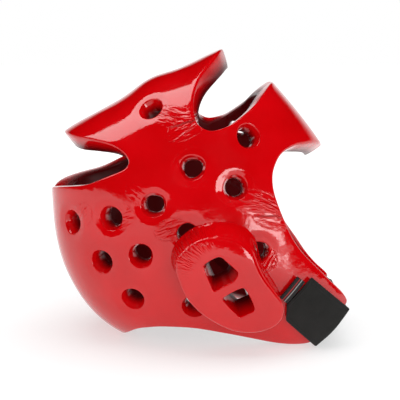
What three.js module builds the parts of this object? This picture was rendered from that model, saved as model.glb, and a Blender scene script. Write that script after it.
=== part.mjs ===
// Dipped-foam sparring headgear, millimetres.
// +X points out of the face opening, +Y to the wearer's left, +Z up. It stands on the nape
// edge and the two chin corners, with the origin under the middle of its bounding box.
// The skin of one half is a bulged surface round a pole on the wearer's ear line. A point on
// it is written in the side view, as [x, z], and laid out flat in a chart around that pole.

import * as THREE from "three";

// Foam shell
const FOAM_THICKNESS = 19;
const HALF_WIDTH = 97;
const BULGE_POWER = 2.4;
const POLE_X = -5.5;
const POLE_Z = 127.5;
const SEAM_HALF_GAP = 0.15;

// Moves the origin under the middle of the bounding box
const STAND_SHIFT_X = 0.37;
const STAND_SHIFT_Z = 0.1;

// Centre-plane silhouette: sides of a rounded polygon, each [facing in degrees, distance from the pole]
const SILHOUETTE_SIDES = [
  [12, 143],
  [41, 131],
  [117, 115.5],
  [181, 133.5],
  [211, 141],
  [247, 146],
  [279, 169],
];
const SILHOUETTE_SHARPNESS = 14;
const CREST_HEIGHT = 5.2;
const CREST_FACING = 109;
const CREST_WIDTH = 11;
const CREST_FADE_POWER = 6;

// Centre-line stretches of the outline, as facings from the pole in degrees
const CROWN_REAR = 152;
const CROWN_FRONT = 78.5;
const FOREHEAD_TOP = 56;
const FOREHEAD_BOTTOM = 22.5;
const NAPE = -118.3;
const REAR_BAND_TOP = -185;

// Cut edges between them, in the side view. The left cheek is set back a little by the closed strap.
const FRONT_SLOT = [[17, 264.5], [11, 257.5], [0, 241.5], [-4, 225], [-2, 209], [3.5, 203], [13, 200],
  [25, 203], [37, 210], [52, 222], [61, 232]];
const BROW = [[100, 185.5], [88, 185], [75, 178.5], [68, 166], [67, 152], [75, 126]];
const RIGHT_CHEEK = [[92.5, 93], [116, 68], [135, 48], [138.4, 41.5], [136.5, 38]];
const LEFT_CHEEK = [[91, 93], [103, 76], [113, 61.5], [123, 50.5], [131, 42], [134, 38.5], [133.5, 34.6]];
const CHIN_FOOT = [108, 5.4];
const JAW_AND_NECK = [CHIN_FOOT, [103, 1.5], [91, 0.3], [73, 2.5], [50, 8.5], [26, 14.3], [3, 18.7],
  [-20, 19.8], [-43, 17.6], [-58, 12.5]];
const REAR_SLOT = [[-119, 147], [-95, 152.5], [-69, 164], [-60.5, 171.5], [-64, 178.5], [-75, 185.5],
  [-95, 190], [-115, 192]];

// Vent holes and the ear opening
const VENT_RADIUS = 9.5;
const VENT_CENTRES = [[-41.6, 217], [-5.1, 167.6], [-38.2, 135.1], [-114.5, 115.3], [-76.7, 122.3],
  [-8.9, 111.1], [45.2, 194.7], [33, 150.4], [54.4, 94.2], [-2.5, 40.5]];
const RIGHT_LOW_VENTS = [[-86.5, 81.4], [-50.3, 89.8], [-58.7, 46.9]];
const LEFT_LOW_VENTS = [[-82.5, 74.4], [-50.3, 89.8], [-49, 40.5]];
const VENT_SIDES = 14;
const EAR_CENTRE = [27, 70];
const EAR_HALF_LENGTH = 32;
const EAR_HALF_BREADTH = 20;
const EAR_TILT = -54;
const EAR_SIDES = 24;

// Ear cup: its raised face, and how far its foot stands outside the face
const CUP_FACE = [[-17, 84], [-15.9, 95], [-2.6, 107], [13, 111.3], [28.4, 109.4], [39.4, 104], [46, 95.5],
  [50.5, 85], [56, 74.9], [64.8, 63.5], [72, 53.5], [73, 45.8], [69, 38.5], [59, 33.8], [45.4, 33],
  [31.9, 36.5], [18.5, 44.3], [5.6, 54.5], [-4.2, 64.6], [-12.5, 76.2]];
const CUP_HEIGHT = 24;
const CUP_FOOT_GROWTH = 3.8;
const CUP_FOOT_SHIFT = [-2.5, 4.4];
const CUP_SEAT_GAP = 1.3;
const CUP_SLOTS = [
  [[5, 88], [18.5, 95.5], [26.5, 90.5], [34, 81], [29, 74.5], [14, 68]],
  [[22, 58.5], [39.5, 69], [45.5, 60.5], [49, 52], [44.5, 47.5], [36.5, 45.5]],
];
const CUP_SLOT_GROWTH = -2;

// Chin strap
const STRAP_THICKNESS = 2.5;
const STRAP_FOLD_TOP = [137.6, 34.6];
const STRAP_FOLD_BOTTOM = [108.4, 1];
const STRAP_PANEL = [[100, 68.7], [134.6, 36.2], [106.4, 4.2], [79, 31], [79, 47.5]];
const FIXED_PANEL = [[98, 65.5], [130, 37.5], [103.5, 7.5], [79, 31], [79, 47.5]];
const STRAP_BAND_HALF_SPAN = 61;
const HOOK_PATCH = [[100.5, 63.5], [129.5, 36.5], [106.5, 10], [83, 32], [83, 46.5]];
const HOOK_PATCH_THICKNESS = 1.2;
const LABEL = [[76.5, 52], [90, 67.6], [95, 66.4], [79.5, 50.4]];
const LABEL_THICKNESS = 2.4;
const FIT_GAP = 0.3;
const SKIN_GAP = 0.9;

// Rivets through the left cheek
const RIVET_CENTRES = { upper: [106, 53], lower: [89, 30] };
const RIVET_SHANK_RADIUS = 2;
const RIVET_HEAD_RADIUS = 5.5;
const RIVET_HEAD_HEIGHT = 1.6;
const RIVET_CHAMFER = 1;
const RIVET_FLANGE_RADIUS = 4.5;
const RIVET_FLANGE_HEIGHT = 1;
const RIVET_HOLE_RADIUS = 2.4;
const RIVET_BORE_RADIUS = 3.8;
const WASHER_RADIUS = 7;
const WASHER_GAP = 1.6;
const WASHER_THICKNESS = 1;
const RIVET_SIDES = 16;
const RIVET_HOLE_SIDES = 10;

// Mesh sizes
const CHART_SCALE = 165;
const LINE_PARTS = 6;
const SHELL_EDGE_STEP = 9;
const SHELL_STEP = 13;
const CUP_EDGE_STEP = 6;
const CUP_STEP = 10;
const STRAP_STEP = 6;
const NORMAL_STEP = 0.05;

// Grid inside an outline: rows of equal-sided triangles, kept off its edge, with a small wobble.
// The first three are shares of the step, and the last is the wobble's waves along each direction.
const GRID_ROW = Math.sqrt(0.75);
const GRID_CLEARANCE = 0.62;
const GRID_WOBBLE = 0.03;
const WOBBLE_WAVES = [12.9, 7.7];
const TRIANGLE_REACH = 40 * CHART_SCALE;

const FINISHES = {
  vinyl: { color: 0xc80a0c, roughness: 0.16, metalness: 0 },
  webbing: { color: 0x22211f, roughness: 0.9, metalness: 0 },
  hook: { color: 0x161616, roughness: 0.95, metalness: 0 },
  label: { color: 0x2a2a2c, roughness: 0.7, metalness: 0 },
  nickel: { color: 0xb8b8b4, roughness: 0.3, metalness: 1 },
};

// ---- The bulged surface ----

function radians(degrees) {
  return THREE.MathUtils.degToRad(degrees);
}

// Distance of the silhouette from the pole, without the crest
function silhouetteRadius(facing) {
  let sum = 0;
  for (const [direction, distance] of SILHOUETTE_SIDES) {
    const reach = Math.max(0, Math.cos(facing - radians(direction))) / distance;
    sum += reach ** SILHOUETTE_SHARPNESS;
  }
  return sum ** (-1 / SILHOUETTE_SHARPNESS);
}

// Small ridge where the crown flap is creased
function crest(facing, share) {
  const turn = THREE.MathUtils.radToDeg(facing) - CREST_FACING;
  const offset = (THREE.MathUtils.euclideanModulo(turn + 180, 360) - 180) / CREST_WIDTH;
  return CREST_HEIGHT * Math.exp(-offset * offset) * share ** CREST_FADE_POWER;
}

// Side view to chart
function toChart([x, z]) {
  const facing = Math.atan2(z - POLE_Z, x - POLE_X);
  const share = Math.min(1, Math.hypot(x - POLE_X, z - POLE_Z) / silhouetteRadius(facing));
  const depth = (1 - share ** BULGE_POWER) ** (1 / BULGE_POWER);
  const radius = (CHART_SCALE * share) / (share + depth);
  return new THREE.Vector2(radius * Math.cos(facing), radius * Math.sin(facing));
}

// Chart to a point on the right half's skin
function skinPoint(p, q) {
  const out = Math.min(1, Math.hypot(p, q) / CHART_SCALE);
  const facing = Math.atan2(q, p);
  const norm = (out ** BULGE_POWER + (1 - out) ** BULGE_POWER) ** (1 / BULGE_POWER);
  const share = out / norm;
  const depth = (1 - out) / norm;
  const radius = silhouetteRadius(facing) * share + crest(facing, share);
  const y = -SEAM_HALF_GAP - (HALF_WIDTH - SEAM_HALF_GAP) * depth;
  return new THREE.Vector3(POLE_X + radius * Math.cos(facing), y, POLE_Z + radius * Math.sin(facing));
}

// Chart directions and outward normal of the skin
function skinFrame(p, q) {
  const onSeam = Math.hypot(p, q) > CHART_SCALE - NORMAL_STEP;
  const inward = onSeam ? 1 - (2 * NORMAL_STEP) / CHART_SCALE : 1;
  const base = skinPoint(p * inward, q * inward);
  const alongP = skinPoint(p * inward + NORMAL_STEP, q * inward).sub(base).divideScalar(NORMAL_STEP);
  const alongQ = skinPoint(p * inward, q * inward + NORMAL_STEP).sub(base).divideScalar(NORMAL_STEP);
  const normal = alongP.clone().cross(alongQ);
  if (onSeam) normal.y = 0;
  return { alongP, alongQ, normal: normal.normalize() };
}

function offSkin(p, q, height) {
  return skinPoint(p, q).addScaledVector(skinFrame(p, q).normal, height);
}

// ---- Outlines in the chart ----

function seamArc(fromFacing, toFacing) {
  return new THREE.ArcCurve(0, 0, CHART_SCALE, radians(fromFacing), radians(toFacing), toFacing < fromFacing);
}

function seamPoint(facing) {
  return new THREE.Vector2(CHART_SCALE, 0).rotateAround(new THREE.Vector2(), radians(facing));
}

function chartSpline(points, closed = false) {
  const flat = points.map((point) => new THREE.Vector3(point.x, point.y, 0));
  return new THREE.CatmullRomCurve3(flat, closed, "centripetal");
}

// Points along a run of curves, each point once
function sampleLoop(curves, step) {
  const loop = [];
  for (const curve of curves) {
    const count = Math.max(1, Math.round(curve.getLength() / step));
    for (const point of curve.getSpacedPoints(count).slice(0, count)) {
      loop.push(new THREE.Vector2(point.x, point.y));
    }
  }
  return loop;
}

function sampleSplineLoop(sideView, step) {
  return sampleLoop([chartSpline(sideView.map(toChart), true)], step);
}

// A line that is straight in the side view, which the chart bends
function sideViewLine(from, to) {
  const points = [];
  for (let i = 0; i <= LINE_PARTS; i++) {
    const share = i / LINE_PARTS;
    points.push(toChart([from[0] + share * (to[0] - from[0]), from[1] + share * (to[1] - from[1])]));
  }
  return chartSpline(points);
}

function samplePolygon(sideView, step) {
  const sides = sideView.map((corner, i) => sideViewLine(corner, sideView[(i + 1) % sideView.length]));
  return sampleLoop(sides, step);
}

// Ring of true size around a point of the skin: an ellipse turned by tilt from the chart's first direction
function ringOnSkin(sideView, halfLength, halfBreadth, sides, tilt = 0) {
  const centre = toChart(sideView);
  const { alongP, alongQ } = skinFrame(centre.x, centre.y);
  const lengthP = alongP.length();
  const slant = alongQ.dot(alongP) / lengthP;
  const lengthQ = Math.sqrt(alongQ.lengthSq() - slant * slant);
  const ring = [];
  for (let i = 0; i < sides; i++) {
    const angle = (2 * Math.PI * (i + 0.5)) / sides;
    const local = new THREE.Vector2(halfLength * Math.cos(angle), halfBreadth * Math.sin(angle));
    local.rotateAround(new THREE.Vector2(), radians(tilt));
    const q = local.y / lengthQ;
    ring.push(new THREE.Vector2(centre.x + (local.x - q * slant) / lengthP, centre.y + q));
  }
  return ring;
}

// The same loop, moved sideways by growth along its outward side and then shifted
function offsetLoop(loop, growth, shift = [0, 0]) {
  const turn = THREE.ShapeUtils.isClockWise(loop) ? -1 : 1;
  return loop.map((point, i) => {
    const before = loop[(i + loop.length - 1) % loop.length];
    const after = loop[(i + 1) % loop.length];
    const side = new THREE.Vector2(after.y - before.y, before.x - after.x).normalize();
    return point.clone().addScaledVector(side, turn * growth).add(new THREE.Vector2(...shift));
  });
}

// ---- Triangles in the chart ----

function circumcircle(points, a, b, c) {
  const ab = points[b].clone().sub(points[a]);
  const ac = points[c].clone().sub(points[a]);
  const twice = 2 * ab.cross(ac);
  const x = (ac.y * ab.lengthSq() - ab.y * ac.lengthSq()) / twice;
  const y = (ab.x * ac.lengthSq() - ac.x * ab.lengthSq()) / twice;
  return { corners: [a, b, c], x: points[a].x + x, y: points[a].y + y, radiusSq: x * x + y * y };
}

// Delaunay triangles, counter-clockwise, by adding one point at a time
function delaunay(points) {
  const far = TRIANGLE_REACH;
  const all = [...points];
  all.push(new THREE.Vector2(-far, -far), new THREE.Vector2(far, -far), new THREE.Vector2(0, far));
  const count = points.length;
  let triangles = [circumcircle(all, count, count + 1, count + 2)];
  for (let i = 0; i < count; i++) {
    const rim = new Map();
    triangles = triangles.filter((triangle) => {
      const away = (all[i].x - triangle.x) ** 2 + (all[i].y - triangle.y) ** 2;
      if (away >= triangle.radiusSq) return true;
      const [a, b, c] = triangle.corners;
      for (const [from, to] of [[a, b], [b, c], [c, a]]) {
        if (!rim.delete(`${to},${from}`)) rim.set(`${from},${to}`, [from, to]);
      }
      return false;
    });
    for (const [from, to] of rim.values()) triangles.push(circumcircle(all, i, from, to));
  }
  return triangles.map((triangle) => triangle.corners).filter((corners) => Math.max(...corners) < count);
}

function isInside(loop, x, y) {
  let inside = false;
  for (let i = 0, j = loop.length - 1; i < loop.length; j = i++) {
    const crosses = loop[i].y > y !== loop[j].y > y;
    const at = ((loop[j].x - loop[i].x) * (y - loop[i].y)) / (loop[j].y - loop[i].y) + loop[i].x;
    if (crosses && x < at) inside = !inside;
  }
  return inside;
}

// Staggered grid points inside the outline, clear of every edge point. The small wobble keeps
// four of them off one circle.
function gridPoints(outline, holes, step) {
  const box = new THREE.Box2().setFromPoints(outline);
  const edges = [outline, ...holes].flat();
  const inner = [];
  let row = 0;
  for (let y = box.min.y; y < box.max.y; y += step * GRID_ROW) {
    row += 1;
    for (let x = box.min.x + (row % 2) * step * 0.5; x < box.max.x; x += step) {
      const wobble = GRID_WOBBLE * step * Math.sin(WOBBLE_WAVES[0] * x + WOBBLE_WAVES[1] * y);
      const point = new THREE.Vector2(x + wobble, y - wobble);
      const free = isInside(outline, x, y) && !holes.some((hole) => isInside(hole, x, y));
      if (free && edges.every((edge) => edge.distanceTo(point) > GRID_CLEARANCE * step)) inner.push(point);
    }
  }
  return inner;
}

// ---- Solids ----

function closedGeometry(corners, triangles) {
  const geometry = new THREE.BufferGeometry();
  const positions = corners.flatMap((corner) => [corner.x, corner.y, corner.z]);
  geometry.setAttribute("position", new THREE.Float32BufferAttribute(positions, 3));
  geometry.setIndex(triangles.flat());
  geometry.computeVertexNormals();
  return geometry;
}

// A plate that follows the skin between two heights. footOutline and footHoles give the edge
// loops at the lower height where they differ from those at the upper one.
function plate({ outline, holes = [], step, lower, upper, footOutline = outline, footHoles = holes }) {
  const loops = [outline, ...holes];
  const inner = gridPoints(outline, holes, step);
  const top = [...loops.flat(), ...inner];
  const foot = [...[footOutline, ...footHoles].flat(), ...inner];
  const flat = delaunay(top).filter(([a, b, c]) => {
    const x = (top[a].x + top[b].x + top[c].x) / 3;
    const y = (top[a].y + top[b].y + top[c].y) / 3;
    return isInside(outline, x, y) && !holes.some((hole) => isInside(hole, x, y));
  });
  const corners = [
    ...top.map((point) => offSkin(point.x, point.y, upper)),
    ...foot.map((point) => offSkin(point.x, point.y, lower)),
  ];
  const under = top.length;
  const triangles = flat.flatMap(([a, b, c]) => [[a, b, c], [a + under, c + under, b + under]]);
  let start = 0;
  for (const loop of loops) {
    const reversed = THREE.ShapeUtils.isClockWise(loop) !== (loop !== outline);
    for (let i = 0; i < loop.length; i++) {
      const here = start + i;
      const next = start + ((i + 1) % loop.length);
      const [a, b] = reversed ? [next, here] : [here, next];
      triangles.push([b, a, a + under], [b, a + under, b + under]);
    }
    start += loop.length;
  }
  return closedGeometry(corners, triangles);
}

// Mirror image of a solid across the centre plane
function mirrored(geometry) {
  const copy = geometry.clone().scale(1, -1, 1);
  const index = Array.from(copy.index.array);
  for (let i = 0; i < index.length; i += 3) [index[i + 1], index[i + 2]] = [index[i + 2], index[i + 1]];
  copy.setIndex(index);
  copy.computeVertexNormals();
  return copy;
}

function shellOutline(cheek) {
  const front = [seamPoint(FOREHEAD_TOP), ...FRONT_SLOT.toReversed().map(toChart), seamPoint(CROWN_FRONT)];
  const rear = [seamPoint(CROWN_REAR), ...REAR_SLOT.toReversed().map(toChart), seamPoint(REAR_BAND_TOP)];
  const face = [...[...BROW, ...cheek].toReversed().map(toChart), seamPoint(FOREHEAD_BOTTOM)];
  const neck = [seamPoint(NAPE), ...JAW_AND_NECK.toReversed().map(toChart)];
  return sampleLoop(
    [
      seamArc(FOREHEAD_BOTTOM, FOREHEAD_TOP),
      chartSpline(front),
      seamArc(CROWN_FRONT, CROWN_REAR),
      chartSpline(rear),
      seamArc(REAR_BAND_TOP, NAPE),
      chartSpline(neck),
      sideViewLine(CHIN_FOOT, cheek.at(-1)),
      chartSpline(face),
    ],
    SHELL_EDGE_STEP,
  );
}

function shell(cheek, lowVents, extraHoles) {
  const centres = [...VENT_CENTRES, ...lowVents];
  const vents = centres.map((centre) => ringOnSkin(centre, VENT_RADIUS, VENT_RADIUS, VENT_SIDES));
  const ear = ringOnSkin(EAR_CENTRE, EAR_HALF_LENGTH, EAR_HALF_BREADTH, EAR_SIDES, EAR_TILT);
  const holes = [...vents, ear, ...extraHoles];
  return plate({ outline: shellOutline(cheek), holes, step: SHELL_STEP, lower: -FOAM_THICKNESS, upper: 0 });
}

function earCup() {
  const outline = sampleSplineLoop(CUP_FACE, CUP_EDGE_STEP);
  const holes = CUP_SLOTS.map((slot) => sampleSplineLoop(slot, CUP_EDGE_STEP));
  return plate({
    outline,
    holes,
    step: CUP_STEP,
    lower: CUP_SEAT_GAP,
    upper: CUP_HEIGHT,
    footOutline: offsetLoop(outline, CUP_FOOT_GROWTH, CUP_FOOT_SHIFT),
    footHoles: holes.map((hole) => offsetLoop(hole, CUP_SLOT_GROWTH)),
  });
}

function surfacePatch(sideView, lower, thickness, holes = []) {
  const outline = samplePolygon(sideView, STRAP_STEP);
  return plate({ outline, holes, step: STRAP_STEP, lower, upper: lower + thickness });
}

// The stretch under the chin: a flat band between the two fold lines
function strapBand() {
  const top = new THREE.Vector2(...STRAP_FOLD_TOP);
  const bottom = new THREE.Vector2(...STRAP_FOLD_BOTTOM);
  const along = bottom.clone().sub(top);
  const geometry = new THREE.BoxGeometry(STRAP_THICKNESS, 2 * STRAP_BAND_HALF_SPAN, along.length());
  geometry.translate(-STRAP_THICKNESS / 2, 0, 0);
  geometry.rotateY(Math.atan2(along.x, along.y) + Math.PI);
  geometry.translate((top.x + bottom.x) / 2, 0, (top.y + bottom.y) / 2);
  return geometry;
}

// Turns a solid made round +Z so that +Z is the skin's normal at a side-view point
function standOnSkin(geometry, sideView) {
  const { x, y } = toChart(sideView);
  const normal = skinFrame(x, y).normal;
  geometry.applyQuaternion(new THREE.Quaternion().setFromUnitVectors(new THREE.Vector3(0, 0, 1), normal));
  const at = skinPoint(x, y);
  return geometry.translate(at.x, at.y, at.z);
}

// A lathed solid round +Z from [radius, height] points, lowest first
function turned(profile) {
  const points = profile.map(([radius, height]) => new THREE.Vector2(radius, height));
  return new THREE.LatheGeometry(points, RIVET_SIDES).rotateX(Math.PI / 2);
}

const RIVET_SEAT = SKIN_GAP + STRAP_THICKNESS + FIT_GAP;
const WASHER_TOP = -FOAM_THICKNESS - WASHER_GAP;

function rivet() {
  const underWasher = WASHER_TOP - WASHER_THICKNESS - FIT_GAP;
  return turned([
    [0, underWasher - RIVET_FLANGE_HEIGHT],
    [RIVET_FLANGE_RADIUS - RIVET_CHAMFER, underWasher - RIVET_FLANGE_HEIGHT],
    [RIVET_FLANGE_RADIUS, underWasher],
    [RIVET_SHANK_RADIUS, underWasher],
    [RIVET_SHANK_RADIUS, RIVET_SEAT],
    [RIVET_HEAD_RADIUS, RIVET_SEAT],
    [RIVET_HEAD_RADIUS - RIVET_CHAMFER, RIVET_SEAT + RIVET_HEAD_HEIGHT],
    [0, RIVET_SEAT + RIVET_HEAD_HEIGHT],
  ]);
}

function washer() {
  const bottom = WASHER_TOP - WASHER_THICKNESS;
  return turned([
    [RIVET_HOLE_RADIUS, bottom],
    [WASHER_RADIUS, bottom],
    [WASHER_RADIUS, WASHER_TOP],
    [RIVET_HOLE_RADIUS, WASHER_TOP],
    [RIVET_HOLE_RADIUS, bottom],
  ]);
}

// ---- Assembly ----

const headgear = new THREE.Group();
headgear.position.set(STAND_SHIFT_X, 0, STAND_SHIFT_Z);

function add(name, geometry, finish) {
  const mesh = new THREE.Mesh(geometry, new THREE.MeshStandardMaterial(FINISHES[finish]));
  mesh.name = name;
  headgear.add(mesh);
}

function rivetHoles(radius) {
  return Object.values(RIVET_CENTRES).map((centre) => ringOnSkin(centre, radius, radius, RIVET_HOLE_SIDES));
}

const cup = earCup();
add("shell_right", shell(RIGHT_CHEEK, RIGHT_LOW_VENTS, []), "vinyl");
add("shell_left", mirrored(shell(LEFT_CHEEK, LEFT_LOW_VENTS, rivetHoles(RIVET_BORE_RADIUS))), "vinyl");
add("ear_cup_right", cup, "vinyl");
add("ear_cup_left", mirrored(cup), "vinyl");

const flapHeight = 2 * SKIN_GAP + HOOK_PATCH_THICKNESS;
add("hook_patch", surfacePatch(HOOK_PATCH, SKIN_GAP, HOOK_PATCH_THICKNESS), "hook");
add("strap_flap", surfacePatch(STRAP_PANEL, flapHeight, STRAP_THICKNESS), "webbing");
add("strap_label", surfacePatch(LABEL, flapHeight, LABEL_THICKNESS), "label");
add("strap_band", strapBand(), "webbing");
const fixedEnd = surfacePatch(FIXED_PANEL, SKIN_GAP, STRAP_THICKNESS, rivetHoles(RIVET_HOLE_RADIUS));
add("strap_fixed_end", mirrored(fixedEnd), "webbing");

for (const [place, centre] of Object.entries(RIVET_CENTRES)) {
  add(`rivet_${place}`, mirrored(standOnSkin(rivet(), centre)), "nickel");
  add(`washer_${place}`, mirrored(standOnSkin(washer(), centre)), "nickel");
}

export default headgear;
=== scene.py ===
# Dipped-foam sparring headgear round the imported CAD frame. Metres, in the CAD's own frame:
# +X out of the face opening, +Y to the wearer's left, +Z up. The shape functions work in
# millimetres, as the CAD source does, and MM scales them when a mesh is made.

import math
import bpy
import numpy as np
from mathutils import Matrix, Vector
from mathutils.geometry import delaunay_2d_cdt


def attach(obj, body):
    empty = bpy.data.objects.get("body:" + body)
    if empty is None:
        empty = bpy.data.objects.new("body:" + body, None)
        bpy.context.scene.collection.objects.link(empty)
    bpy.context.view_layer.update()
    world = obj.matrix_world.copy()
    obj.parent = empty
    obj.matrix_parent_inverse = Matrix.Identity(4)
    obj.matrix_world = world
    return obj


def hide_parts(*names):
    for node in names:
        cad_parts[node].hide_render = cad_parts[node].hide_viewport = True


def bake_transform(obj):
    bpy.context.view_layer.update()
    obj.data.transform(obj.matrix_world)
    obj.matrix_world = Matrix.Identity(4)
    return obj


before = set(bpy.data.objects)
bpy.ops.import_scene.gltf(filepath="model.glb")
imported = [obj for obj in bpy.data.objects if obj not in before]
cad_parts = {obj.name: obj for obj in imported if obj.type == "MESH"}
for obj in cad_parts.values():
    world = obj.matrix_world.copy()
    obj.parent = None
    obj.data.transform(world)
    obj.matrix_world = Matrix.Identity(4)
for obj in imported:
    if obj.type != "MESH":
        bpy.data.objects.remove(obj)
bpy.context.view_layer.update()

MM = 0.001

# Foam skin, as in the CAD: a bulged surface round a pole, charted as a disc of radius CHART
FOAM = 19.0
HALF_WIDTH = 97.0
POWER = 2.4
POLE = np.array([-5.5, 127.5])
STAND_SHIFT = np.array([0.37, 0.0, 0.1])
CHART = 165.0
SIDES = [(12, 143), (41, 131), (117, 115.5), (181, 133.5), (211, 141), (247, 146), (279, 169)]
SHARPNESS = 14
CREST_HEIGHT, CREST_FACING, CREST_WIDTH, CREST_FADE = 5.2, 109, 11, 6

# Where the cut edges leave the centre plane, in degrees round the pole
CROWN_REAR, CROWN_FRONT = 152, 78.5
FOREHEAD_TOP, FOREHEAD_BOTTOM = 56, 22.5
NAPE, REAR_BAND_TOP = -118.3, -185

# Cut edges in the side view
FRONT_SLOT = [(17, 264.5), (11, 257.5), (0, 241.5), (-4, 225), (-2, 209), (3.5, 203), (13, 200),
              (25, 203), (37, 210), (52, 222), (61, 232)]
BROW = [(100, 185.5), (88, 185), (75, 178.5), (68, 166), (67, 152), (75, 126)]
RIGHT_CHEEK = [(92.5, 93), (116, 68), (135, 48), (138.4, 41.5), (136.5, 38)]
LEFT_CHEEK = [(91, 93), (103, 76), (113, 61.5), (123, 50.5), (132, 43), (135, 39.6), (134, 34.8)]
JAW_AND_NECK = [(108, 5.4), (103, 1.5), (91, 0.3), (73, 2.5), (50, 8.5), (26, 14.3), (3, 18.7),
                (-20, 19.8), (-43, 17.6), (-58, 12.5)]
REAR_SLOT = [(-119, 147), (-95, 152.5), (-69, 164), (-60.5, 171.5), (-64, 178.5), (-75, 185.5),
             (-95, 190), (-115, 192)]

# Holes
VENT_RADIUS = 8.6
VENTS = [(-41.6, 217), (-5.1, 167.6), (-38.2, 135.1), (-114.5, 115.3), (-76.7, 122.3), (-8.9, 111.1),
         (45.2, 194.7), (33, 150.4), (54.4, 94.2), (-3.5, 42)]
RIGHT_LOW_VENTS = [(-86.5, 81.4), (-50.3, 89.8), (-58.7, 46.9)]
LEFT_LOW_VENTS = [(-82.5, 74.4), (-50.3, 89.8), (-49, 40.5)]
EAR, EAR_HALF_LENGTH, EAR_HALF_BREADTH, EAR_TILT = (27, 70), 32, 20, -54
RIVETS = [(106, 53), (89, 30)]
RIVET_BORE = 3.8

# Rounding of the dipped edges, and how far the skin dips in round a vent
EDGE_ROUND, VENT_ROUND, EAR_ROUND, BORE_ROUND, INNER_ROUND = 2.2, 1.5, 0.8, 0.6, 2.0
WALL_BULGE = 0.4
MOUTH_FLARE, FLARE_DEPTH = 2.2, 11.0
CUP_SIDE_VENTS, CUP_SIDE_FLARE = [(54.4, 94.2), (-8.9, 111.1)], 0.4
VENT_SINK, VENT_SINK_REACH = 1.1, 5.0

# Ear cup: raised face, foot and two slots
CUP_FACE = [(-17, 84), (-15.9, 95), (-2.6, 107), (13, 111.3), (28.4, 109.4), (39.4, 104), (46, 95.5),
            (50.5, 85), (56, 74.9), (64.8, 63.5), (72, 53.5), (73, 45.8), (69, 38.5), (59, 33.2), (45, 31),
            (30.5, 33), (15.5, 40), (1.2, 50.2), (-8.6, 62), (-14.2, 74.5)]
CUP_HEIGHT, CUP_CROWN, CUP_CROWN_REACH, CUP_ROUND = 24.0, 1.6, 26.0, 3.0
CUP_FOOT = [(-21.5, 82), (-21, 96), (-8, 111.5), (12, 119.6), (30, 119.3), (42, 114.5), (49, 106),
            (53, 93), (57.5, 81), (65.5, 68), (71.5, 57), (73, 47), (69.5, 39), (59.5, 33.5), (45, 32),
            (31, 35), (17, 42.5), (3.5, 52.5), (-7, 62), (-16, 73)]
CUP_SINK = -0.8
CUP_WALL_HEIGHTS = (17.5, 14, 10.5, 7, 4)
CUP_HEM = [(-0.1, 2.2), (-0.4, 1.2), (-0.9, 0.4), (-1.4, CUP_SINK)]  # (inset, height) down to the shell
CUP_SLOTS = [
    [(5, 89), (19, 96.2), (34.6, 82), (30, 75.4), (13.8, 67.4)],
    [(20.8, 61.5), (39, 70.4), (45, 61), (49, 51.3), (36, 45.6)],
]
SLOT_ROUND, SLOT_TAPER, SLOT_SHARES = 1.3, 0.34, (0.2, 0.4, 0.6, 0.8)
CUP_MIDDLE, CUP_RIM_RADIUS = (26, 74), 42
CUP_CREASE_FACING, CUP_CREASE_SPREAD, CUP_CREASE_START, CUP_CREASE_FADE = 138, 40, 30, 8

# Mesh sizes
COARSE, FINE, EDGE_STEP = 3.0, 1.6, 2.2
RELAX_STEP, RELAX_ROUNDS = 1.0, 5
CUP_EDGE_STEP, CUP_STEP, CUP_RELAX_ROUNDS = 1.3, 2.0, 7
SLOT_EDGE_STEP, SLOT_RELAX_ROUNDS = 0.9, 8
EVEN_REACHES, EVEN_TURNS = (6, 12, 18), 12
SEAM_MERGE = 0.02
VENT_POINTS, EAR_POINTS, BORE_POINTS = 44, 72, 20
GRID_GAP, GRID_CHUNK = 0.6, 500
WALL_SHARES = (0.12, 0.28, 0.44, 0.62, 0.8)
ROUND_TURNS = np.linspace(0, math.pi / 2, 6)


# ---- The bulged surface ----

def silhouette_radius(facing):
    total = 0
    for direction, distance in SIDES:
        reach = np.maximum(0, np.cos(facing - math.radians(direction))) / distance
        total = total + reach ** SHARPNESS
    return total ** (-1 / SHARPNESS)


def crest(facing, share):
    turn = (np.degrees(facing) - CREST_FACING + 180) % 360 - 180
    return CREST_HEIGHT * np.exp(-(turn / CREST_WIDTH) ** 2) * share ** CREST_FADE


def to_chart(side_view):
    """Side-view (x, z) points as chart points."""
    offset = np.asarray(side_view, float) - POLE
    facing = np.arctan2(offset[..., 1], offset[..., 0])
    share = np.minimum(1, np.linalg.norm(offset, axis=-1) / silhouette_radius(facing))
    depth = (1 - share ** POWER) ** (1 / POWER)
    radius = CHART * share / (share + depth)
    return np.stack([radius * np.cos(facing), radius * np.sin(facing)], -1)


def skin(chart):
    """Chart points on the right half's outer skin."""
    out = np.minimum(1, np.linalg.norm(chart, axis=-1) / CHART)
    facing = np.arctan2(chart[..., 1], chart[..., 0])
    norm = (out ** POWER + (1 - out) ** POWER) ** (1 / POWER)
    share = out / norm
    radius = silhouette_radius(facing) * share + crest(facing, share)
    y = -HALF_WIDTH * (1 - out) / norm
    return np.stack([POLE[0] + radius * np.cos(facing), y, POLE[1] + radius * np.sin(facing)], -1)


def skin_frame(chart):
    """Chart directions on the skin, and its outward normal."""
    step = 0.05
    on_seam = np.linalg.norm(chart, axis=-1) > CHART - 2 * step
    base = chart * np.where(on_seam, 1 - 3 * step / CHART, 1)[..., None]
    along_p = (skin(base + [step, 0]) - skin(base - [step, 0])) / (2 * step)
    along_q = (skin(base + [0, step]) - skin(base - [0, step])) / (2 * step)
    normal = np.cross(along_p, along_q)
    normal[..., 1] = np.where(on_seam, 0, normal[..., 1])
    return along_p, along_q, normal / np.linalg.norm(normal, axis=-1, keepdims=True)


def lift(chart, height):
    return skin(chart) + skin_frame(chart)[2] * np.asarray(height, float)[..., None]


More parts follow.
